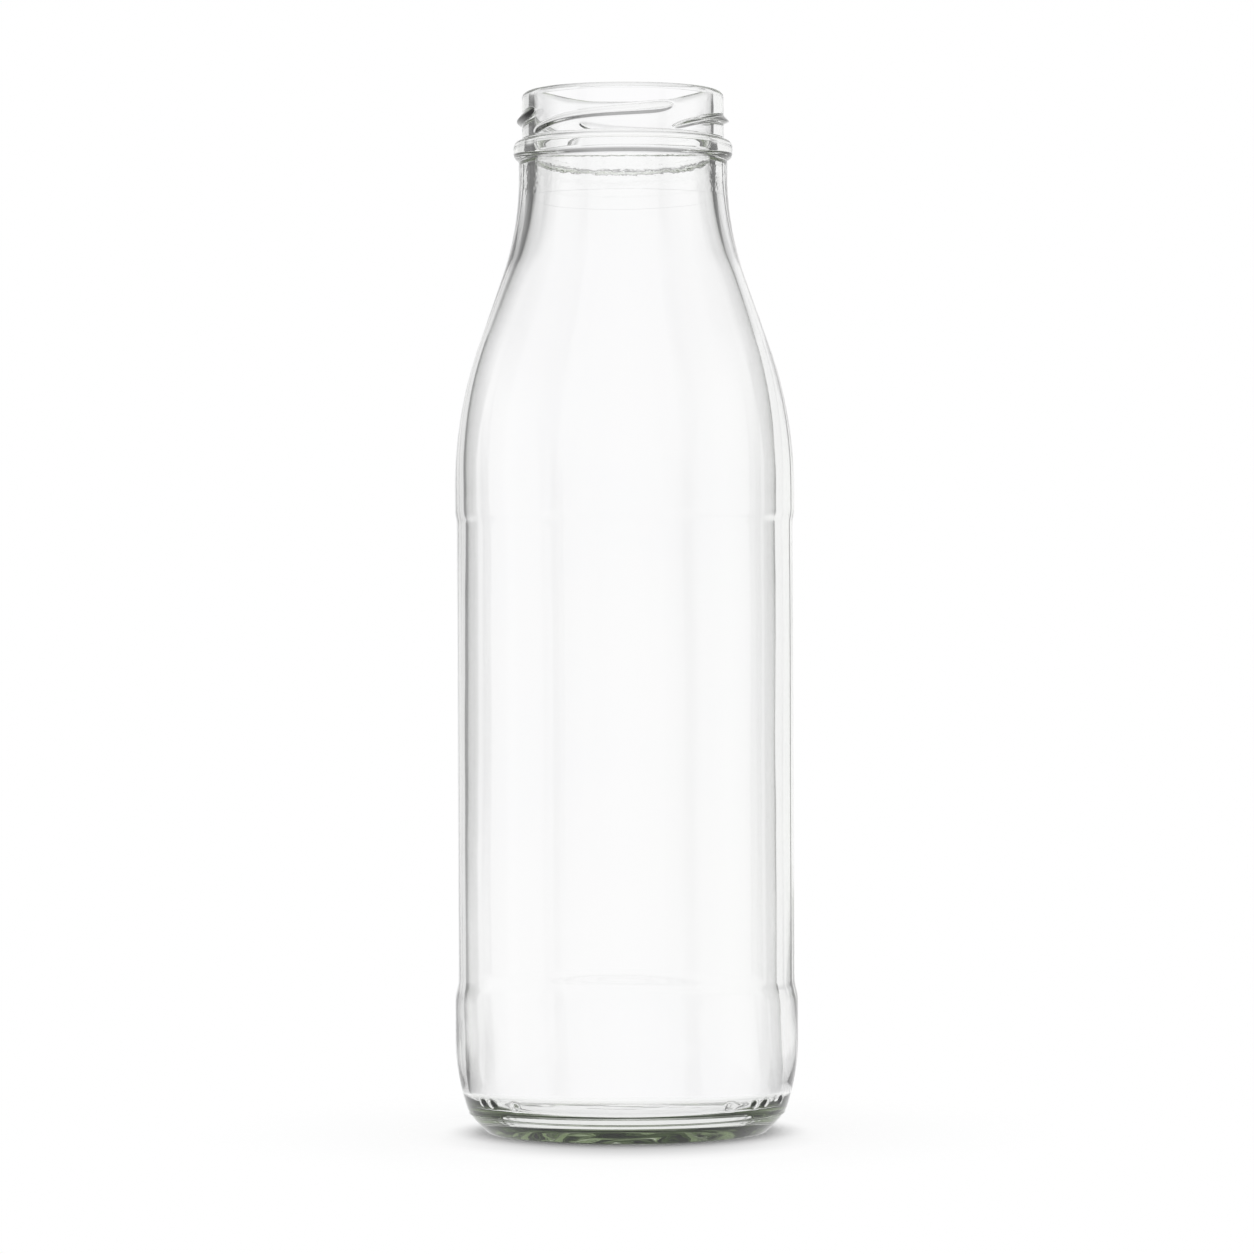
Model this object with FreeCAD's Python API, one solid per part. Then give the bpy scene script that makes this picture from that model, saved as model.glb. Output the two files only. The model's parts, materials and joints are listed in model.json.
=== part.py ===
import FreeCAD, Part
import math
import os

# Glass milk bottle, one hollow moulding, in millimetres.
# It stands on z = 0 with its axis on Z, and its front faces -Y.

# Whole bottle
bottle_height = 207.0

# Neck finish for a 43 mm twist-off cap
bore_diameter = 35.3
bore_depth = 14.0
finish_diameter = 40.2
finish_height = 9.8
rim_outer_round = 1.0
rim_inner_round = 0.8
bead_diameter = 43.6
bead_height = 3.9
bead_round = 1.3

# Cap lugs, right-handed, each one climbing to the right
lug_count = 4
lug_diameter = 42.5
lug_root_depth = 0.3
lug_low_thickness = 1.4
lug_high_thickness = 2.6
lug_span = 91.0
lug_end_length = 2.6
lug_rise = 4.6
lug_steady_share = 0.5
lug_top_drop = 4.2
lug_low_end_angle = -151.0
lug_inner_stations = 9
lug_section_corners = 10

# Neck and shoulder
neck_diameter = 41.4
neck_height = 3.2
shoulder_height = 62.0
shoulder_straight = 15.0
shoulder_flare_share = 0.41
inner_shoulder_lift = 2.0

# Body with its recessed label panel
shoulder_band_diameter = 67.5
shoulder_band_height = 4.5
upper_step_height = 2.6
panel_diameter = 66.8
lower_step_height = 4.5
lower_band_diameter = 68.2
lower_band_height = 7.5
body_wall = 2.75

# Heel and base
heel_height = 14.7
parting_height = 3.8
parting_diameter = 62.8
parting_ledge = 0.2
base_corner_bulge = 0.45
bearing_diameter = 55.6
bearing_width = 3.2
push_up_lip_width = 1.0
push_up_lip_height = 1.2
push_up_rise = 1.8
floor_height = 5.0
floor_crown = 1.2
inner_heel_round = 8.0

# Largest distance between a small round and its facets
round_facet = 0.12

axis = FreeCAD.Vector(0, 0, 1)
origin = FreeCAD.Vector(0, 0, 0)


def at(radius, height):
    return FreeCAD.Vector(radius, 0, height)


def line(start, end):
    return [Part.makeLine(start, end)]


def arc(start, middle, end):
    return [Part.Arc(start, middle, end).toShape()]


def faceted(edge):
    return Part.makePolygon(edge.discretize(Deflection=round_facet)).Edges


def quarter(start, end, centre):
    # quarter round between an upright and a level face
    half_way = start + end - centre * 2
    half_way.multiply(start.distanceToPoint(centre) / half_way.Length)
    return faceted(Part.Arc(start, centre + half_way, end).toShape())


def bulged(start, end, bulge):
    # round that leaves its chord by the bulge, outwards and down
    chord = end - start
    outwards = FreeCAD.Vector(chord.z, 0, -chord.x).normalize()
    return faceted(Part.Arc(start, (start + end) * 0.5 + outwards * bulge, end).toShape())


def dome(edge, top):
    # shallow dome, level at the axis
    curve = Part.BezierCurve()
    curve.setPoles([edge, at(edge.x / 2, top.z), top])
    return faceted(curve.toShape())


def drawn_in(low, high):
    # one arc that ends upright at its upper end
    run = high.x - low.x
    rise = high.z - low.z
    radius = (run ** 2 + rise ** 2) / (2 * run)
    half_turn = math.asin(rise / radius) / 2
    centre = high.x - radius
    middle = at(centre + radius * math.cos(half_turn), high.z - radius * math.sin(half_turn))
    return arc(low, middle, high)


def ogee(low, high):
    # full shoulder arc, straight cone and hollow neck arc, upright at both ends
    run = low.x - high.x
    rise = high.z - low.z
    turn = 2 * math.atan(run / (rise + shoulder_straight))
    radii = (rise - shoulder_straight * math.cos(turn)) / math.sin(turn)
    flare_radius = radii * shoulder_flare_share
    shoulder_radius = radii - flare_radius

    def on_shoulder(angle):
        inset = shoulder_radius * (1 - math.cos(angle))
        return at(low.x - inset, low.z + shoulder_radius * math.sin(angle))

    def on_flare(angle):
        outset = flare_radius * (1 - math.cos(angle))
        return at(high.x + outset, high.z - flare_radius * math.sin(angle))

    return (arc(low, on_shoulder(turn / 2), on_shoulder(turn))
            + line(on_shoulder(turn), on_flare(turn))
            + arc(on_flare(turn), on_flare(turn / 2), high))


# Heights, counted down from the rim and up from the base
bead_top = bottle_height - finish_height
bead_bottom = bead_top - bead_height
neck_bottom = bead_bottom - neck_height
shoulder_bottom = neck_bottom - shoulder_height
upper_step_top = shoulder_bottom - shoulder_band_height
panel_top = upper_step_top - upper_step_height
heel_top = parting_height + heel_height
lower_band_top = heel_top + lower_band_height
panel_bottom = lower_band_top + lower_step_height
bore_bottom = bottle_height - bore_depth
inner_shoulder_bottom = shoulder_bottom + inner_shoulder_lift
push_up_height = push_up_lip_height + push_up_rise
floor_middle = floor_height + floor_crown

# Radii
bore = bore_diameter / 2
finish = finish_diameter / 2
bead = bead_diameter / 2
neck = neck_diameter / 2
shoulder = shoulder_band_diameter / 2
panel = panel_diameter / 2
lower = lower_band_diameter / 2
parting = parting_diameter / 2
base_edge = parting - parting_ledge
bearing = bearing_diameter / 2
bearing_inner = bearing - bearing_width
push_up_edge = bearing_inner - push_up_lip_width
inner_body = panel - body_wall
floor_edge = inner_body - inner_heel_round

# Base and heel
outline = dome(at(push_up_edge, push_up_lip_height), at(0, push_up_height))
outline += line(at(push_up_edge, push_up_lip_height), at(bearing_inner, 0))
outline += line(at(bearing_inner, 0), at(bearing, 0))
outline += bulged(at(bearing, 0), at(base_edge, parting_height), base_corner_bulge)
outline += line(at(base_edge, parting_height), at(parting, parting_height))
outline += drawn_in(at(parting, parting_height), at(lower, heel_top))

# Body and shoulder
outline += line(at(lower, heel_top), at(lower, lower_band_top))
outline += line(at(lower, lower_band_top), at(panel, panel_bottom))
outline += line(at(panel, panel_bottom), at(panel, panel_top))
outline += line(at(panel, panel_top), at(shoulder, upper_step_top))
outline += line(at(shoulder, upper_step_top), at(shoulder, shoulder_bottom))
outline += ogee(at(shoulder, shoulder_bottom), at(neck, neck_bottom))
outline += line(at(neck, neck_bottom), at(neck, bead_bottom))

# Bead
bead_in = bead - bead_round
outline += line(at(neck, bead_bottom), at(bead_in, bead_bottom))
outline += quarter(at(bead_in, bead_bottom), at(bead, bead_bottom + bead_round),
                   at(bead_in, bead_bottom + bead_round))
outline += line(at(bead, bead_bottom + bead_round), at(bead, bead_top - bead_round))
outline += quarter(at(bead, bead_top - bead_round), at(bead_in, bead_top),
                   at(bead_in, bead_top - bead_round))
outline += line(at(bead_in, bead_top), at(finish, bead_top))

# Rim
outer_round_start = bottle_height - rim_outer_round
inner_round_end = bottle_height - rim_inner_round
rim_outside = finish - rim_outer_round
rim_inside = bore + rim_inner_round
outline += line(at(finish, bead_top), at(finish, outer_round_start))
outline += quarter(at(finish, outer_round_start), at(rim_outside, bottle_height),
                   at(rim_outside, outer_round_start))
outline += line(at(rim_outside, bottle_height), at(rim_inside, bottle_height))
outline += quarter(at(rim_inside, bottle_height), at(bore, inner_round_end),
                   at(rim_inside, inner_round_end))

# Inside, down to the middle of the floor
floor_round_top = floor_height + inner_heel_round
outline += line(at(bore, inner_round_end), at(bore, bore_bottom))
outline += ogee(at(inner_body, inner_shoulder_bottom), at(bore, bore_bottom))
outline += line(at(inner_body, inner_shoulder_bottom), at(inner_body, floor_round_top))
outline += quarter(at(inner_body, floor_round_top), at(floor_edge, floor_height),
                   at(floor_edge, floor_round_top))
outline += dome(at(floor_edge, floor_height), at(0, floor_middle))
outline += line(at(0, floor_middle), at(0, push_up_height))

section = Part.Face(Part.Wire(Part.__sortEdges__(outline)))
bottle = section.revolve(origin, axis, 360)


def lug_section(travel, reach):
    # rounded section in the plane through the axis, shrinking towards both ends
    share = travel / reach
    near_end = min(1.0, min(travel, reach - travel) / lug_end_length)
    size = math.sqrt(1 - (1 - near_end) ** 2)
    thickness = lug_low_thickness + (lug_high_thickness - lug_low_thickness) * share
    climb = lug_steady_share * share + (1 - lug_steady_share) * (1 - (1 - share) ** 3)
    height = bottle_height - lug_top_drop - lug_rise * (1 - climb)
    root = finish - lug_root_depth
    corners = []
    for corner in range(lug_section_corners):
        turn = 2 * math.pi * corner / lug_section_corners
        radius = root + (lug_diameter / 2 - root) * size * math.cos(turn)
        corners.append(at(radius, height + thickness / 2 * size * math.sin(turn)))
    ring = Part.makePolygon(corners + corners[:1])
    ring.rotate(origin, axis, lug_low_end_angle + lug_span * share)
    return ring


# Lugs, one lofted along its climb and then repeated round the finish
lug_reach = math.radians(lug_span) * finish
full_reach = lug_reach - 2 * lug_end_length
end_travels = [lug_end_length / 20, lug_end_length / 4, lug_end_length]
travels = list(end_travels)
for station in range(lug_inner_stations):
    travels.append(lug_end_length + full_reach * (station + 1) / (lug_inner_stations + 1))
for travel in reversed(end_travels):
    travels.append(lug_reach - travel)
first_lug = Part.makeLoft([lug_section(travel, lug_reach) for travel in travels], True, True)
lugs = []
for number in range(lug_count):
    lug = first_lug.copy()
    lug.rotate(origin, axis, 360 * number / lug_count)
    lugs.append(lug)
bottle = bottle.fuse(lugs)

os.makedirs("parts", exist_ok=True)
bottle.exportStep("parts/glass_bottle.step")
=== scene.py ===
import json
import math

import bpy
import numpy as np
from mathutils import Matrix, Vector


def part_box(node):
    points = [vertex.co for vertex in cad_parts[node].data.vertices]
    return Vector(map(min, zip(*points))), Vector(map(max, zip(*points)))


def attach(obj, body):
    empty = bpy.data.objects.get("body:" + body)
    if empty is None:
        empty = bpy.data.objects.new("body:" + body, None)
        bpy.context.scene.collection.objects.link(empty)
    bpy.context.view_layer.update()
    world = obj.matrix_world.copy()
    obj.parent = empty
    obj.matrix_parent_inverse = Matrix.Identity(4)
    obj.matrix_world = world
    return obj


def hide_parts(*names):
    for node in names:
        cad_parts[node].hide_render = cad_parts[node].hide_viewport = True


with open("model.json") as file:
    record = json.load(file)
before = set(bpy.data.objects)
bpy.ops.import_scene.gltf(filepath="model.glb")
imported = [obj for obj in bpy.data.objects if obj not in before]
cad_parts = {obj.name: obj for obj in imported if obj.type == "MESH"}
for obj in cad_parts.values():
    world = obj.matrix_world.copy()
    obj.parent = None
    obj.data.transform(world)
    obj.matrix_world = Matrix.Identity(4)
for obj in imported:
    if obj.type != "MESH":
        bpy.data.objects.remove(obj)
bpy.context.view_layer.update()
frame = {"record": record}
bottleLow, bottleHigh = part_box("glass_bottle")
mouth = next(m for m in frame["record"]["mounts"] if m["name"] == "mouth")
print("frame loaded, bottle", [round(high - low, 4) for low, high in zip(bottleLow, bottleHigh)])

mm = 0.001


class Wire:
    # a node socket that can be used in sums
    def __init__(self, tree, socket=None):
        self.tree = tree
        self.socket = socket

    def add(self, kind, settings=None, sockets=None, out=0):
        node = self.tree.nodes.new(kind)
        for name, value in (settings or {}).items():
            if name == "stops":
                ramp = node.color_ramp
                while len(ramp.elements) < len(value):
                    ramp.elements.new(0.5)
                for element, (place, level) in zip(ramp.elements, value):
                    element.position = place
                    element.color = (level, level, level, 1)
            else:
                setattr(node, name, value)
        for name, value in (sockets or {}).items():
            if isinstance(value, Wire):
                self.tree.links.new(value.socket, node.inputs[name])
            else:
                node.inputs[name].default_value = value
        return Wire(self.tree, node.outputs[out] if node.outputs else None)

    def maths(self, operation, first, second=0.0):
        return self.add("ShaderNodeMath", {"operation": operation}, {0: first, 1: second})

    def __add__(self, other):
        return self.maths("ADD", self, other)

    def __radd__(self, other):
        return self.maths("ADD", other, self)

    def __sub__(self, other):
        return self.maths("SUBTRACT", self, other)

    def __rsub__(self, other):
        return self.maths("SUBTRACT", other, self)

    def __mul__(self, other):
        return self.maths("MULTIPLY", self, other)

    def __rmul__(self, other):
        return self.maths("MULTIPLY", other, self)

    def __truediv__(self, other):
        return self.maths("DIVIDE", self, other)

    def __rtruediv__(self, other):
        return self.maths("DIVIDE", other, self)


def newTree(owner):
    owner.use_nodes = True
    owner.node_tree.nodes.clear()
    return Wire(owner.node_tree)


# bottle, sizes in millimetres
bottle = {
    "turns": 320,                  # segments round the axis
    "finish": 20.1, "finishHeight": 9.8, "rimOuter": 1.3, "rimInner": 1.1,
    "bead": 21.8, "beadHeight": 3.9, "beadRound": 1.3, "beadFillet": 0.5,
    "boreDepth": 14.0,
    "neck": 20.7, "neckHeight": 3.2,
    "shoulderHeight": 62.0, "shoulderStraight": 15.0, "flareShare": 0.41, "innerLift": 2.0,
    "shoulder": 33.75, "shoulderBand": 4.5, "upperStep": 2.6,
    "panel": 33.4, "lowerStep": 4.5, "lower": 34.1, "lowerBand": 7.5,
    "heelHeight": 14.7, "parting": 31.4, "partingHeight": 3.8,
    "cornerEnd": (-0.2, -0.1), "cornerBulge": 0.1,                     # base edge, off the parting line
    "ridge": [(-0.1, 0.0), (0.1, 0.12), (0.12, 0.3), (0.1, 0.48)],     # fine ridge, off the parting line
    "bearing": 27.8, "bearingWidth": 3.2, "bearingCrown": 0.12,
    "lipWidth": 1.0, "lipHeight": 1.2, "pushUp": 1.8,
    "wall": 2.75, "follow": 1.0,   # share of the outer steps that the inside follows
    "floor": 4.2, "crown": 0.6, "innerHeel": 6.5, "heelPower": 2.4,
}

# rings along each stretch of the outline
rings = {
    "pushUp": 16, "lip": 3, "bearing": 8, "corner": 9,
    "heel": 40, "heelFrom": 2, "heelFine": 16, "heelStride": 4,
    "band": 3, "lowerStep": 7, "panel": 4, "upperStep": 6, "shoulder": 16, "cone": 4,
    "neck": 3, "neckRoot": 3, "beadUnder": 7, "beadSide": 2, "beadOver": 6, "finishRoot": 4, "finish": 60,
    "rimOuter": 7, "rimInner": 6,
    "bore": 5, "innerShoulder": 15, "innerBand": 2, "innerPanel": 8, "innerLow": 4,
    "innerHeel": 14, "floor": 11,
}


def arcRow(centre, radius, first, last, count):
    # points of an arc, angles in degrees from level outwards
    row = []
    for n in range(count + 1):
        a = math.radians(first + (last - first) * n / count)
        row.append((centre[0] + radius * math.cos(a), centre[1] + radius * math.sin(a)))
    return row


def lineRow(start, end, count):
    return [(start[0] + (end[0] - start[0]) * n / count, start[1] + (end[1] - start[1]) * n / count)
            for n in range(count + 1)]


def stepRow(start, end, count):
    # soft change of radius, upright at both ends
    row = []
    for n in range(count + 1):
        t = n / count
        eased = 3 * t ** 2 - 2 * t ** 3
        row.append((start[0] + (end[0] - start[0]) * eased, start[1] + (end[1] - start[1]) * t))
    return row


def bulgedRow(start, end, bulge, count):
    # shallow bow off a straight line, outwards and down
    chord = math.hypot(end[0] - start[0], end[1] - start[1])
    out = ((end[1] - start[1]) / chord, (start[0] - end[0]) / chord)
    row = []
    for n in range(count + 1):
        t = n / count
        lift = 4 * bulge * t * (1 - t)
        row.append((start[0] + (end[0] - start[0]) * t + out[0] * lift,
                    start[1] + (end[1] - start[1]) * t + out[1] * lift))
    return row


def ogeeRow(low, high, b, arcCount, coneCount):
    # shoulder arc, cone and neck arc, upright at both ends
    run = low[0] - high[0]
    rise = high[1] - low[1]
    straight = b["shoulderStraight"]
    turn = 2 * math.atan(run / (rise + straight))
    radii = (rise - straight * math.cos(turn)) / math.sin(turn)
    flare = radii * b["flareShare"]
    full = radii - flare
    degrees = math.degrees(turn)
    row = arcRow((low[0] - full, low[1]), full, 0, degrees, arcCount)
    neckArc = arcRow((high[0] + flare, high[1]), flare, 180 + degrees, 180, arcCount)
    row += lineRow(row[-1], neckArc[0], coneCount)[1:-1]
    return row + neckArc


def beadRoot(b, wall):
    # angle at which the bead's round touches the soft root on a wall, and the root's reach past the bead
    reach = b["beadRound"] + b["beadFillet"]
    meet = math.acos((b["bead"] - b["beadRound"] - wall - b["beadFillet"]) / reach)
    return math.degrees(meet), reach * math.sin(meet) - b["beadRound"]


def bottleOutline(b, c):
    top = bottleHigh[2] / mm
    bore = mouth["dims"]["r_mm"]
    beadTop = top - b["finishHeight"]
    beadBottom = beadTop - b["beadHeight"]
    neckBottom = beadBottom - b["neckHeight"]
    shoulderBottom = neckBottom - b["shoulderHeight"]
    upperStepTop = shoulderBottom - b["shoulderBand"]
    panelTop = upperStepTop - b["upperStep"]
    heelTop = b["partingHeight"] + b["heelHeight"]
    lowerTop = heelTop + b["lowerBand"]
    panelBottom = lowerTop + b["lowerStep"]
    boreBottom = top - b["boreDepth"]

    # underside, from the middle out to the standing ring
    ringIn = b["bearing"] - b["bearingWidth"]
    ringMid = (ringIn + b["bearing"]) / 2
    lipIn = ringIn - b["lipWidth"]
    shares = [n / c["pushUp"] for n in range(c["pushUp"] + 1)]
    rows = [[(lipIn * t, b["lipHeight"] + b["pushUp"] * (1 - t ** 2)) for t in shares]]
    rows.append(lineRow((lipIn, b["lipHeight"]), (ringIn, b["bearingCrown"]), c["lip"])[1:])
    ring = lineRow((ringIn, 0), (b["bearing"], 0), c["bearing"])[1:]
    rows.append([(r, b["bearingCrown"] * ((r - ringMid) / (b["bearingWidth"] / 2)) ** 2) for r, z in ring])
    # rounded base edge, fine parting ridge and heel
    parting = (b["parting"], b["partingHeight"])
    cornerEnd = (parting[0] + b["cornerEnd"][0], parting[1] + b["cornerEnd"][1])
    rows.append(bulgedRow((b["bearing"], b["bearingCrown"]), cornerEnd, b["cornerBulge"], c["corner"])[1:])
    rows.append([(parting[0] + out, parting[1] + up) for out, up in b["ridge"]])
    run = b["lower"] - b["parting"]
    heelRadius = (run ** 2 + b["heelHeight"] ** 2) / (2 * run)
    heelTurn = math.degrees(math.asin(b["heelHeight"] / heelRadius))
    heel = arcRow((b["lower"] - heelRadius, heelTop), heelRadius, -heelTurn, 0, c["heel"])
    rows.append(heel[c["heelFrom"]:c["heelFine"]])
    rows.append(heel[c["heelFine"]::c["heelStride"]])
    # lower band, label panel and shoulder band
    rows.append(lineRow((b["lower"], heelTop), (b["lower"], lowerTop), c["band"])[1:])
    rows.append(stepRow((b["lower"], lowerTop), (b["panel"], panelBottom), c["lowerStep"])[1:])
    rows.append(lineRow((b["panel"], panelBottom), (b["panel"], panelTop), c["panel"])[1:])
    rows.append(stepRow((b["panel"], panelTop), (b["shoulder"], upperStepTop), c["upperStep"])[1:])
    rows.append(lineRow((b["shoulder"], upperStepTop), (b["shoulder"], shoulderBottom), c["band"])[1:])
    shoulder = ogeeRow((b["shoulder"], shoulderBottom), (b["neck"], neckBottom), b, c["shoulder"], c["cone"])
    rows.append(shoulder[1:])
    # neck, bead with soft roots, finish wall
    f = b["beadFillet"]
    beadIn = b["bead"] - b["beadRound"]
    beadLow = beadBottom + b["beadRound"]
    beadHigh = beadTop - b["beadRound"]
    meet, past = beadRoot(b, b["neck"])
    rows.append(lineRow((b["neck"], neckBottom), (b["neck"], beadBottom - past), c["neck"])[1:])
    rows.append(arcRow((b["neck"] + f, beadBottom - past), f, 180, meet, c["neckRoot"])[1:])
    rows.append(arcRow((beadIn, beadLow), b["beadRound"], meet - 180, 0, c["beadUnder"])[1:])
    rows.append(lineRow((b["bead"], beadLow), (b["bead"], beadHigh), c["beadSide"])[1:])
    meet, past = beadRoot(b, b["finish"])
    rows.append(arcRow((beadIn, beadHigh), b["beadRound"], 0, 180 - meet, c["beadOver"])[1:])
    rows.append(arcRow((b["finish"] + f, beadTop + past), f, 360 - meet, 180, c["finishRoot"])[1:])
    rows.append(lineRow((b["finish"], beadTop + past), (b["finish"], top - b["rimOuter"]), c["finish"])[1:])
    # rim
    outerRound = (b["finish"] - b["rimOuter"], top - b["rimOuter"])
    innerRound = (bore + b["rimInner"], top - b["rimInner"])
    rows.append(arcRow(outerRound, b["rimOuter"], 0, 90, c["rimOuter"])[1:])
    rows.append(arcRow(innerRound, b["rimInner"], 90, 180, c["rimInner"]))
    outside = [point for row in rows for point in row]

    # inside, down to the middle of the floor
    inner = b["panel"] - b["wall"]
    innerTop = inner + b["follow"] * (b["shoulder"] - b["panel"])
    innerLow = inner + b["follow"] * (b["lower"] - b["panel"])
    innerShoulder = shoulderBottom + b["innerLift"]
    floorEdge = innerLow - b["innerHeel"]
    heelStart = b["floor"] + b["innerHeel"]
    shoulder = ogeeRow((innerTop, innerShoulder), (bore, boreBottom), b, c["innerShoulder"], c["cone"])
    rows = [lineRow((bore, top - b["rimInner"]), (bore, boreBottom), c["bore"])[1:]]
    rows.append(shoulder[::-1][1:])
    rows.append(lineRow((innerTop, innerShoulder), (innerTop, upperStepTop), c["innerBand"])[1:])
    rows.append(stepRow((innerTop, upperStepTop), (inner, panelTop), c["upperStep"])[1:])
    rows.append(lineRow((inner, panelTop), (inner, panelBottom), c["innerPanel"])[1:])
    rows.append(stepRow((inner, panelBottom), (innerLow, lowerTop), c["lowerStep"])[1:])
    rows.append(lineRow((innerLow, lowerTop), (innerLow, heelStart), c["innerLow"])[1:])
    power = 2 / b["heelPower"]
    angles = [math.pi / 2 * n / c["innerHeel"] for n in range(1, c["innerHeel"])]
    rows.append([(floorEdge + b["innerHeel"] * math.cos(a) ** power,
                  heelStart - b["innerHeel"] * math.sin(a) ** power) for a in angles])
    shares = [1 - n / c["floor"] for n in range(c["floor"] + 1)]
    rows.append([(floorEdge * t, b["floor"] + b["crown"] * (1 - t ** 2)) for t in shares])
    inside = [point for row in rows for point in row]
    return outside, inside


def spinBottle(b, c):
    outside, inside = bottleOutline(b, c)
    outline = outside + inside
    # a plane merged to one point starts the outline
    bpy.ops.object.select_all(action="DESELECT")
    bpy.ops.mesh.primitive_plane_add(size=10 * mm)
    piece = bpy.context.object
    piece.name = piece.data.name = "bottleGlass"
    bpy.ops.object.mode_set(mode="EDIT")
    bpy.ops.mesh.select_all(action="SELECT")
    bpy.ops.mesh.merge(type="CENTER")
    bpy.ops.transform.translate(value=(outline[0][0] * mm, 0, outline[0][1] * mm))
    for (r, z), (nextR, nextZ) in zip(outline, outline[1:]):
        step = ((nextR - r) * mm, 0, (nextZ - z) * mm)
        bpy.ops.mesh.extrude_region_move(TRANSFORM_OT_translate={"value": step})
    bpy.ops.object.mode_set(mode="OBJECT")
    piece.vertex_groups.new(name="inside").add(range(len(outside), len(outline)), 1.0, "REPLACE")
    bpy.ops.object.mode_set(mode="EDIT")
    bpy.ops.mesh.select_all(action="SELECT")
    bpy.ops.mesh.spin(steps=b["turns"], angle=2 * math.pi, center=(0, 0, 0), axis=(0, 0, 1))
    bpy.ops.mesh.select_all(action="SELECT")
    bpy.ops.mesh.remove_doubles(threshold=0.001 * mm)
    bpy.ops.mesh.normals_make_consistent(inside=False)
    bpy.ops.object.mode_set(mode="OBJECT")
    bpy.ops.object.shade_smooth()
    print("bottle spun,", len(outline), "rings,", len(piece.data.vertices), "vertices")
    return piece


# lugs, knurling and the glass's own unevenness, in millimetres and degrees
# a pair in brackets is where a change starts and where it ends
detail = {
    "finishFrom": 0.1, "finishTo": 0.5, "finishSlack": 0.3,    # clear of bead and rim, and still on the wall
    "lugs": 4, "lugLowAngle": -151.0, "lugSpan": 91.0, "lugLead": 45.0,
    "lugRise": 4.6, "lugDrop": 4.3, "lugClimb": (2.6, -3.6, 2.0),    # climb is steep, then easy, then steep
    "lugLow": 1.4, "lugHigh": 2.6, "lugOut": 1.05,
    "lugUnder": 0.7, "lugOver": 1.9, "lugOverMost": 1.5,             # flanks
    "lugNose": 4.5, "lugTail": 3.5, "lugEnd": 0.35,
    "pips": [-60, -54, -42, 38, 50, 56, 68], "pipHeight": 7.2, "pipSize": 1.9, "pipOut": 0.3,
    "pipEdge": (0.15, 0.55), "pipZone": (4.5, 10.0), "pipSlack": 0.3,
    "seamOut": 0.06, "seamHalf": 0.05, "seamFrom": 4.5,
    "knurls": 80, "knurlDepth": 0.03, "knurlTop": 1.0, "knurlIn": (-0.6, 0.4), "knurlOut": 1.4,
    "floorWave": 0.12, "floorZone": 4.0, "floorFade": (14, 27),
    "swell": (3.7, 0.8, 4.4), "slant": (0.6, 1.7, 3.1, 2.0),         # two wave trains on the floor
    "ringPitch": 4.2, "ringDepth": 0.2, "ringTop": 3.3, "ringEdge": 1.2,
    "ringStart": (2, 5), "ringStop": (20, 23),
    "leanLeft": 0.6, "leanStart": 30.0, "leanStop": (140, 188),
    "waves": [(0.08, 1, 14.0, 1.3), (0.05, 2, -9.0, 0.4), (0.02, 5, 23.0, 2.1)],   # size, count, pitch, start
    "waveRadius": (10, 24), "waveStart": (1, 10), "waveStop": (170, 190),
}


def smooth(edge0, edge1, x):
    t = np.clip((x - edge0) / (edge1 - edge0), 0, 1)
    return t * t * (3 - 2 * t)


def lugShape(angle, z, top, b, d):
    # how far a place stands out on a lug, 0 to 1
    whole = math.radians(d["lugSpan"]) * b["finish"]
    first, second, third = d["lugClimb"]
    lug = np.zeros_like(z)
    for n in range(d["lugs"]):
        along = (angle - d["lugLowAngle"] - 360 * n / d["lugs"] + d["lugLead"]) % 360 - d["lugLead"]
        share = np.clip(along / d["lugSpan"], 0, 1)
        climb = share * (first + second * share + third * share ** 2)
        slope = d["lugRise"] * (first + 2 * second * share + 3 * third * share ** 2) / whole
        centre = top - d["lugDrop"] - d["lugRise"] * (1 - climb)
        half = (d["lugLow"] + (d["lugHigh"] - d["lugLow"]) * share) / 2
        arc = np.radians(along) * b["finish"]
        past = np.maximum((arc - whole + d["lugNose"]) / d["lugNose"], (d["lugTail"] - arc) / d["lugTail"])
        nose = np.sqrt(np.clip(1 - np.maximum(past, 0) ** 2, 0, 1))
        rise = (z - centre) / np.sqrt(1 + slope ** 2)
        under = smooth(0, d["lugUnder"], rise + half * nose)
        over = smooth(0, np.minimum(d["lugOver"], d["lugOverMost"] * half), half * nose - rise)
        lug = np.maximum(lug, under * over * smooth(0, d["lugEnd"], nose))
    return lug


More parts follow.
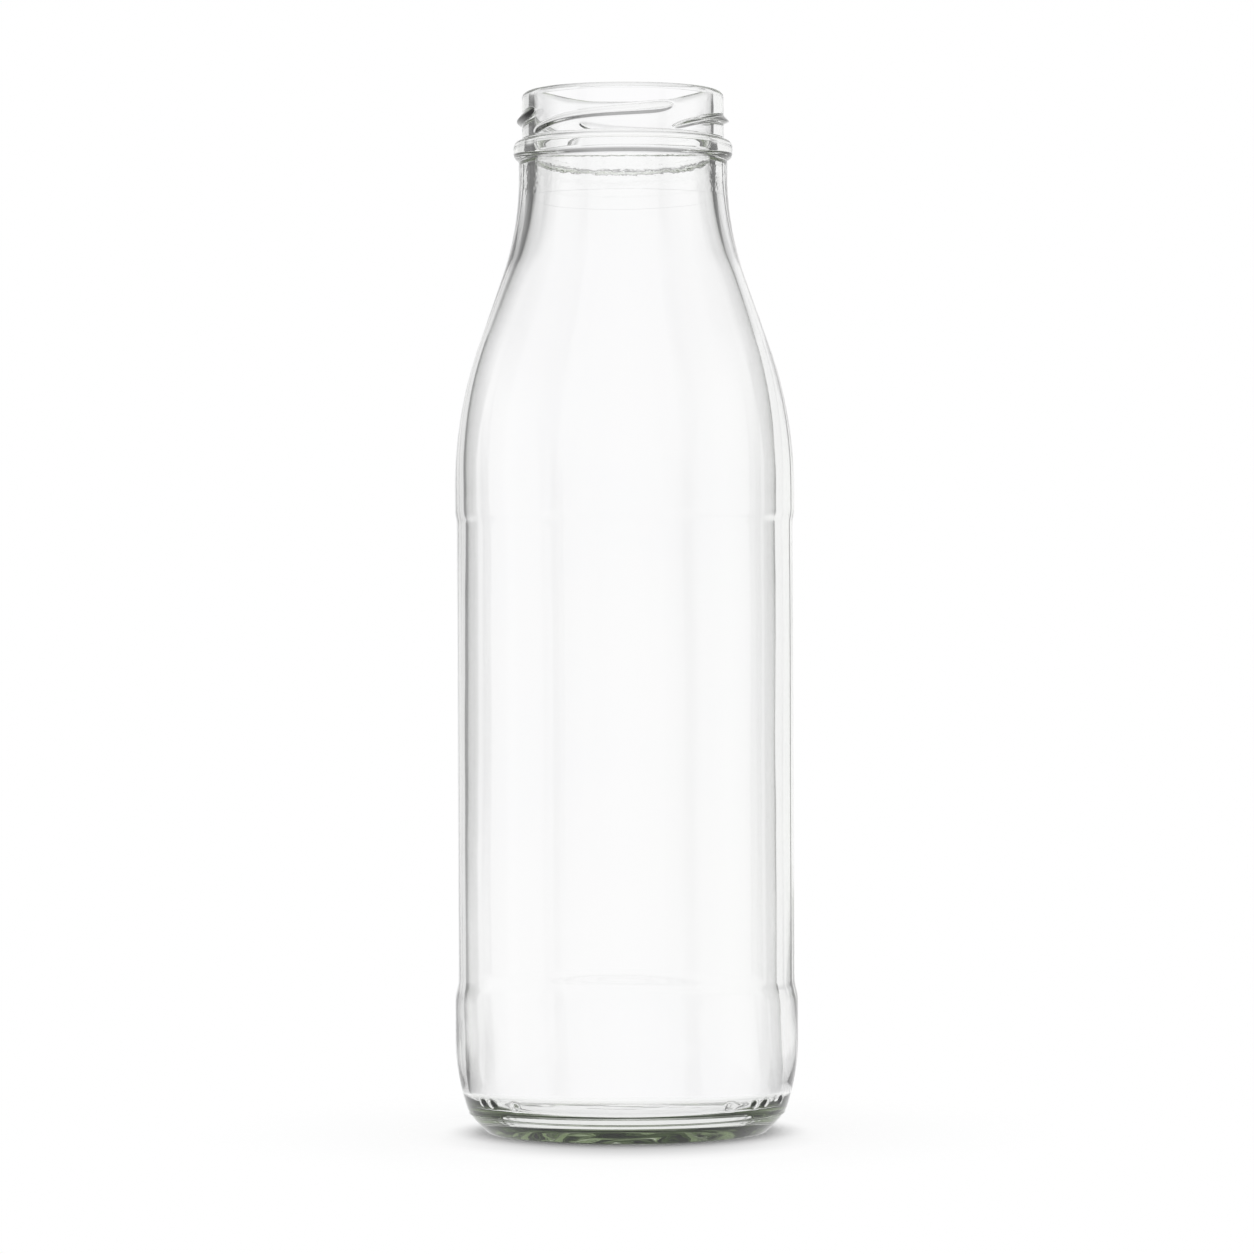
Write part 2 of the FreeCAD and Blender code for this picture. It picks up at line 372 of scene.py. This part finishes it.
def shapeGlass(piece, b, d):
    mesh = piece.data
    co = np.empty(len(mesh.vertices) * 3, dtype=np.float64)
    mesh.vertices.foreach_get("co", co)
    co = co.reshape(-1, 3) / mm
    x, y, z = co.T.copy()
    inside = np.array([len(v.groups) > 0 for v in mesh.vertices])
    piece.vertex_groups.clear()
    r = np.hypot(x, y)
    angle = np.degrees(np.arctan2(y, x))
    safe = np.maximum(r, 1e-6)     # the axis has no direction
    top = bottleHigh[2] / mm
    beadTop = top - b["finishHeight"]
    ringIn = b["bearing"] - b["bearingWidth"]
    push = np.zeros_like(r)

    # lugs stand out of the finish wall
    onFinish = (z > beadTop + d["finishFrom"]) & (z < top - d["finishTo"])
    onFinish = onFinish & (r > b["finish"] - d["finishSlack"]) & ~inside
    push += np.where(onFinish, d["lugOut"] * lugShape(angle, z, top, b, d), 0)

    # mould pips round the heel
    onHeel = (z > d["pipZone"][0]) & (z < d["pipZone"][1]) & (r > b["parting"] - d["pipSlack"])
    front = (angle + 90 + 180) % 360 - 180     # turn from the front
    for place in d["pips"]:
        away = np.hypot(np.radians(front - place) * b["parting"], z - d["pipHeight"])
        push += np.where(onHeel, d["pipOut"] * (1 - smooth(*d["pipEdge"], away / d["pipSize"])), 0)

    # mould seam, a faint ridge on both sides
    onSeam = (np.abs(y) < d["seamHalf"]) & (z > d["seamFrom"]) & (z < beadTop - b["beadHeight"]) & ~inside
    push += np.where(onSeam, d["seamOut"], 0)

    # nothing stands out past the lower band
    push = np.minimum(push, b["lower"] - r)
    co[:, 0] += x / safe * push
    co[:, 1] += y / safe * push

    # knurls under the standing ring
    knurlStart = ringIn + d["knurlIn"][0]
    knurlEnd = b["bearing"] + d["knurlOut"]
    under = (z < d["knurlTop"]) & (r > knurlStart) & (r < knurlEnd)
    window = smooth(knurlStart, ringIn + d["knurlIn"][1], r) * (1 - smooth(b["bearing"], knurlEnd, r))
    groove = 0.5 - 0.5 * np.cos(np.radians(angle) * d["knurls"])
    co[:, 2] += np.where(under, d["knurlDepth"] * groove * window, 0)

    # uneven floor, and shallow rings under the push-up
    pitchX, startX, pitchY = d["swell"]
    size, skew, pitch, start = d["slant"]
    uneven = np.sin(x / pitchX + startX) * np.cos(y / pitchY) + size * np.sin((x + skew * y) / pitch + start)
    onFloor = inside & (z < b["floor"] + d["floorZone"])
    co[:, 2] += np.where(onFloor, d["floorWave"] * uneven * (1 - smooth(*d["floorFade"], r)), 0)
    onPush = ~inside & (z < d["ringTop"]) & (r < ringIn - d["ringEdge"])
    circles = np.sin(r * 2 * math.pi / d["ringPitch"])
    circles = circles * smooth(*d["ringStart"], r) * (1 - smooth(*d["ringStop"], r))
    co[:, 2] += np.where(onPush, d["ringDepth"] * circles, 0)

    # inner wall, thinner on the left and gently wavy
    above = z - b["floor"]
    lean = d["leanLeft"] * smooth(0, d["leanStart"], above) * (1 - smooth(*d["leanStop"], z))
    wave = np.zeros_like(r)
    for size, count, pitch, start in d["waves"]:
        wave += size * np.sin(count * np.radians(angle) + z / pitch + start)
    wave *= smooth(*d["waveRadius"], r) * smooth(*d["waveStart"], above) * (1 - smooth(*d["waveStop"], z))
    co[:, 0] += np.where(inside, x / safe * wave - lean, 0)
    co[:, 1] += np.where(inside, y / safe * wave, 0)

    co[:, 2] = np.clip(co[:, 2], 0, top)
    mesh.vertices.foreach_set("co", (co * mm).ravel())
    mesh.update()
    print("bottle detailed,", int(onFinish.sum()), "finish,", int(inside.sum()), "inner vertices")


# clear glass with the faint green of thick stretches, in metres
glass = {
    "ior": 1.52, "tint": (0.60, 0.70, 0.46, 1), "density": 9.0,
    "ripple": 0.00004, "rippleScale": 60.0, "rippleDetail": 1.5, "rippleRough": 0.4,
    "settle": 0.9, "settleScale": 450.0, "settleDetail": 2.0, "settleRough": 0.6,
    "settleRadius": 0.0192, "settleLow": 0.186, "settleHigh": 0.1945,
    "stipple": 0.01, "stippleRadius": 0.0282, "stippleHeight": 0.0036,
    "patchScale": 28.0, "patchDetail": 3.0, "patchRough": 0.55, "patchStart": 0.4, "patchEnd": 0.65,
    "patchColour": (0.994, 0.995, 0.997, 1),
}


def ease(tree, value, start, end):
    return tree.add("ShaderNodeMapRange", {"interpolation_type": "SMOOTHSTEP"},
                    {"Value": value, "From Min": start, "From Max": end})


def grain(tree, place, scale, detailLevel, rough):
    return tree.add("ShaderNodeTexNoise", {"noise_dimensions": "3D"},
                    {"Vector": place, "Scale": scale, "Detail": detailLevel, "Roughness": rough})


def clearGlass(g):
    material = bpy.data.materials.new("clearGlass")
    tree = newTree(material)
    place = tree.add("ShaderNodeTexCoord", out=3)
    flat = tree.add("ShaderNodeVectorMath", {"operation": "MULTIPLY"}, {0: place, 1: (1, 1, 0)})
    away = tree.add("ShaderNodeVectorMath", {"operation": "LENGTH"}, {0: flat}, out=1)
    height = tree.add("ShaderNodeSeparateXYZ", None, {"Vector": place}, out=2)
    ripple = grain(tree, place, g["rippleScale"], g["rippleDetail"], g["rippleRough"])
    # the bore's lower end settled unevenly before blowing
    speckle = grain(tree, place, g["settleScale"], g["settleDetail"], g["settleRough"])
    settled = tree.maths("LESS_THAN", away, g["settleRadius"])
    settled = settled * tree.maths("GREATER_THAN", height, g["settleLow"])
    settled = settled * tree.maths("LESS_THAN", height, g["settleHigh"])
    normal = tree.add("ShaderNodeBump", None, {
        "Height": ripple + speckle * settled * g["settle"], "Strength": 1.0, "Distance": g["ripple"]})
    # the underside is faintly stippled by the mould
    under = tree.maths("LESS_THAN", away, g["stippleRadius"])
    under = under * tree.maths("LESS_THAN", height, g["stippleHeight"])
    # faint patches of colour
    patch = grain(tree, place, g["patchScale"], g["patchDetail"], g["patchRough"])
    patch = ease(tree, patch, g["patchStart"], g["patchEnd"])
    colour = tree.add("ShaderNodeMix", {"data_type": "RGBA"}, {
        "Factor": patch, 6: (1, 1, 1, 1), 7: g["patchColour"]}, out=2)
    shader = tree.add("ShaderNodeBsdfPrincipled", None, {
        "Base Color": colour, "Roughness": under * g["stipple"], "IOR": g["ior"],
        "Transmission Weight": 1.0, "Normal": normal})
    body = tree.add("ShaderNodeVolumeAbsorption", None, {"Color": g["tint"], "Density": g["density"]})
    tree.add("ShaderNodeOutputMaterial", None, {"Surface": shader, "Volume": body})
    return material


bottlePiece = spinBottle(bottle, rings)
shapeGlass(bottlePiece, bottle, detail)
bottlePiece.data.materials.append(clearGlass(glass))
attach(bottlePiece, "root")
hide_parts("glass_bottle")

# stage, a white floor that keeps the shadow and has a painted contact shade near the bottle, and a world with
# bright windows for the glass to show
stage = {
    "floorSize": 0.6, "floorTurns": 96, "floorColour": 0.98,
    "floorLift": 0.93, "throughLift": 0.92,        # share of even white, seen directly and in the glass
    "fadeStart": 0.03, "fadeEnd": 0.09,            # the floor gives way to the world, seen directly
    "throughStart": 0.06, "throughEnd": 0.16,      # and in the glass
    "underStart": 0.02, "underEnd": 0.05, "underLeast": 0.9,      # less white under the bottle, in the glass
    "nearStart": 0.028, "nearEnd": 0.037, "nearLeast": 0.15,      # and close to it, seen directly
    # painted contact shade: the floor colour is darkened round a point just in front of the bottle
    "contact": 0.4, "contactCentre": (0, 0.012, 0), "contactShape": (1, 0.85, 1),
    "contactStart": 0.014, "contactEnd": 0.04,     # painted contact shade, for the camera alone
    # what the glass shows: grey away from an axis (1 is 45 degrees), then a dark edge, in degrees
    "across": [(0.0, 1.0), (0.15, 1.0), (0.22, 0.89), (0.31, 0.79), (1.0, 0.73)],
    "rightGrey": 0.15,                             # share of that grey on the right
    "dark": 0.12, "darkSoft": 1.2, "darkLeft": 31.8, "darkRight": 43.0, "darkSide": 35.0,
    "darkLow": 6.0, "darkLowRight": 6.5, "liftStart": 2.0, "liftEnd": 15.0,   # starts nearer, higher up
    "high": (12.0, 15.0), "highAcross": (28.0, 46.0), "highSoft": 0.5,        # and is softer
    "aloft": 0.4, "aloftUp": (8.0, 16.0), "aloftAcross": (22.0, 38.0),        # dark high up off the axes
    # and from straight down (0) by level (0.5) to straight up (1)
    "upward": [(0.0, 0.2), (0.3, 0.12), (0.36, 0.25), (0.42, 1.0), (0.58, 1.0), (0.62, 0.7), (0.66, 0.4),
               (0.82, 0.4), (0.88, 1.0)],
    "farPale": 0.8, "farPassed": 3.0, "farDown": (-4.0, -12.0),   # paler low down through a whole wall
    "lowWindow": [(0.0, 1.0), (0.3, 0.97), (0.5, 0.8), (0.7, 0.3), (1.0, 0.0)],
    "lowTilt": 20.0, "lowWide": 24.0, "lowTall": 26.0,
    "nearPale": 0.8, "sidePale": 0.4,              # paler in front of the bottle, less so at its sides
    "deepKeep": (0.45, 0.51, 0.37), "deepFree": 3.0,   # light that went to and fro in the glass
    "white": (0.993, 0.988, 1.0, 1),
    "gloss": 0.2,                                  # share of all this in plain reflections
    "soft": 1.0,                                   # plain white for the camera and the floor
}


def rayKinds(tree, *names):
    path = tree.add("ShaderNodeLightPath").socket.node
    return [Wire(tree.tree, path.outputs[name]) for name in names]


def easeDegrees(tree, value, limits):
    return ease(tree, value, math.radians(limits[0]), math.radians(limits[1]))


def trapped(tree, colour, mirrored, s):
    # darker and greener with every mirroring after the first few
    count = tree.maths("MAXIMUM", mirrored - s["deepFree"], 0.0)
    kept = tree.add("ShaderNodeCombineColor", None, {
        n: tree.maths("POWER", keep, count) for n, keep in enumerate(s["deepKeep"])})
    return tree.add("ShaderNodeMix", {"data_type": "RGBA", "blend_type": "MULTIPLY"}, {
        "Factor": 1.0, 6: colour, 7: kept}, out=2)


def whiteFloor(s):
    bpy.ops.object.select_all(action="DESELECT")
    bpy.ops.mesh.primitive_circle_add(vertices=s["floorTurns"], radius=s["floorSize"] / 2, fill_type="NGON")
    floor = bpy.context.object
    floor.name = "floor"
    material = bpy.data.materials.new("paleFloor")
    tree = newTree(material)
    place = tree.add("ShaderNodeTexCoord", out=3)
    away = tree.add("ShaderNodeVectorMath", {"operation": "LENGTH"}, {0: place}, out=1)
    direct, glossy, through, mirrored = rayKinds(
        tree, "Is Camera Ray", "Is Glossy Ray", "Is Transmission Ray", "Glossy Depth")
    looked = tree.maths("MAXIMUM", glossy, through)
    farSeen = ease(tree, away, s["fadeStart"], s["fadeEnd"])
    farThrough = ease(tree, away, s["throughStart"], s["throughEnd"])
    gone = looked * farThrough + (1 - looked) * farSeen
    pale = trapped(tree, (s["floorColour"],) * 3 + (1,), mirrored, s)
    # painted contact shade: the floor colour darkened near the bottle, longer towards the camera
    shade = tree.add("ShaderNodeVectorMath", {"operation": "ADD"}, {0: place, 1: s["contactCentre"]})
    shade = tree.add("ShaderNodeVectorMath", {"operation": "MULTIPLY"}, {0: shade, 1: s["contactShape"]})
    shade = tree.add("ShaderNodeVectorMath", {"operation": "LENGTH"}, {0: shade}, out=1)
    shade = direct * (1 - ease(tree, shade, s["contactStart"], s["contactEnd"])) * s["contact"]
    pale = tree.add("ShaderNodeMix", {"data_type": "RGBA"}, {
        "Factor": shade, 6: pale, 7: (0, 0, 0, 1)}, out=2)
    lit = tree.add("ShaderNodeBsdfPrincipled", None, {
        "Base Color": pale, "Roughness": 1.0, "Specular IOR Level": 0.0})
    lift = tree.add("ShaderNodeEmission", None, {"Color": pale, "Strength": 1.0})
    under = ease(tree, away, s["underStart"], s["underEnd"]) * (1 - s["underLeast"]) + s["underLeast"]
    near = ease(tree, away, s["nearStart"], s["nearEnd"]) * (1 - s["nearLeast"]) + s["nearLeast"]
    share = direct * near * s["floorLift"] + looked * under * s["throughLift"]
    shown = tree.add("ShaderNodeMixShader", None, {0: share, 1: lit, 2: lift})
    clear = tree.add("ShaderNodeBsdfTransparent")
    both = tree.add("ShaderNodeMixShader", None, {0: gone, 1: shown, 2: clear})
    tree.add("ShaderNodeOutputMaterial", None, {"Surface": both})
    floor.data.materials.append(material)


def softWorld(s):
    world = bpy.data.worlds.new("softWorld")
    bpy.context.scene.world = world
    tree = newTree(world)
    glossy, through, mirrored, passed = rayKinds(
        tree, "Is Glossy Ray", "Is Transmission Ray", "Glossy Depth", "Transmission Depth")
    direction = tree.add("ShaderNodeTexCoord", out=0)
    node = tree.add("ShaderNodeSeparateXYZ", None, {"Vector": direction}).socket.node
    x, y, z = (Wire(tree.tree, node.outputs[n]) for n in range(3))
    up = tree.maths("ARCSINE", z)
    turn = tree.maths("ARCTAN2", x, y)
    eighth = math.pi / 4
    signed = tree.maths("FLOORED_MODULO", turn + eighth, 2 * eighth) - eighth
    across = tree.maths("ABSOLUTE", signed)
    right = tree.maths("GREATER_THAN", signed, 0.0)
    wide = tree.maths("ABSOLUTE", x)
    behind = tree.maths("GREATER_THAN", y, wide)
    grey = tree.add("ShaderNodeValToRGB", {"stops": s["across"]}, {"Fac": across / eighth})
    grey = 1 - (1 - grey) * (1 - right * (1 - s["rightGrey"]))
    # the dark edge starts further out on the right, and is softer higher up
    rightStart = behind * math.radians(s["darkRight"] - s["darkSide"])
    rightStart = rightStart + math.radians(s["darkSide"] - s["darkLeft"])
    lift = tree.add("ShaderNodeMapRange", None, {
        "Value": up, "From Min": math.radians(s["liftStart"]), "From Max": math.radians(s["liftEnd"])})
    drop = right * math.radians(s["darkLowRight"] - s["darkLow"]) + math.radians(s["darkLow"])
    start = right * rightStart + math.radians(s["darkLeft"]) - lift * drop
    edge = easeDegrees(tree, across - start, (-s["darkSoft"], s["darkSoft"]))
    high = easeDegrees(tree, up, s["high"]) * (1 - easeDegrees(tree, across, s["highAcross"]))
    edge = edge * (1 - s["highSoft"] * high)
    aloft = easeDegrees(tree, up, s["aloftUp"]) * easeDegrees(tree, across, s["aloftAcross"])
    level = grey * (1 - edge * (1 - s["dark"])) * (1 - aloft * s["aloft"])
    height = tree.add("ShaderNodeValToRGB", {"stops": s["upward"]}, {"Fac": up / math.pi + 0.5})
    beyond = tree.maths("GREATER_THAN", passed, s["farPassed"]) * easeDegrees(tree, up, s["farDown"])
    height = 1 - (1 - height) * (1 - beyond * s["farPale"])
    # a low window between the axes
    aside = (eighth - across) / math.radians(s["lowWide"])
    below = (up + math.radians(s["lowTilt"])) / math.radians(s["lowTall"])
    reach = tree.maths("SQRT", aside * aside + below * below)
    low = tree.add("ShaderNodeValToRGB", {"stops": s["lowWindow"]}, {"Fac": reach})
    bright = tree.maths("MAXIMUM", level * height, low)
    ahead = tree.maths("LESS_THAN", y, 0.0) * s["sidePale"]
    ahead = ahead + tree.maths("LESS_THAN", y + wide, 0.0) * (s["nearPale"] - s["sidePale"])
    bright = 1 - (1 - bright) * (1 - ahead)
    bright = tree.add("ShaderNodeMix", {"data_type": "RGBA", "blend_type": "MULTIPLY"}, {
        "Factor": 1.0, 6: s["white"], 7: bright}, out=2)
    bright = trapped(tree, bright, mirrored, s)
    colour = tree.add("ShaderNodeMix", {"data_type": "RGBA"}, {
        "Factor": through + glossy * s["gloss"], 6: (s["soft"],) * 3 + (1,), 7: bright}, out=2)
    back = tree.add("ShaderNodeBackground", None, {"Color": colour, "Strength": 1.0})
    tree.add("ShaderNodeOutputWorld", None, {"Surface": back})


whiteFloor(stage)
softWorld(stage)
# light goes to and fro many times inside thick glass
paths = {"max_bounces": 40, "glossy_bounces": 12, "transmission_bounces": 40}
for name, count in paths.items():
    setattr(bpy.context.scene.cycles, name, count)
print("stage set")

# camera level with the middle of the bottle, as photographed
camera = {"distance": 0.973, "height": 0.1004, "aside": 0.00038, "roll": 0.255, "lens": 140.15, "sensor": 36}


def setCamera(c):
    bpy.ops.object.camera_add(location=(c["aside"], -c["distance"], c["height"]),
                              rotation=(math.pi / 2, 0, 0))
    view = bpy.context.object
    view.data.lens = c["lens"]
    view.data.sensor_width = c["sensor"]
    view.rotation_euler.rotate_axis("Z", math.radians(-c["roll"]))
    bpy.context.scene.camera = view


setCamera(camera)
bpy.context.scene.view_settings.view_transform = "Standard"
print("camera set")
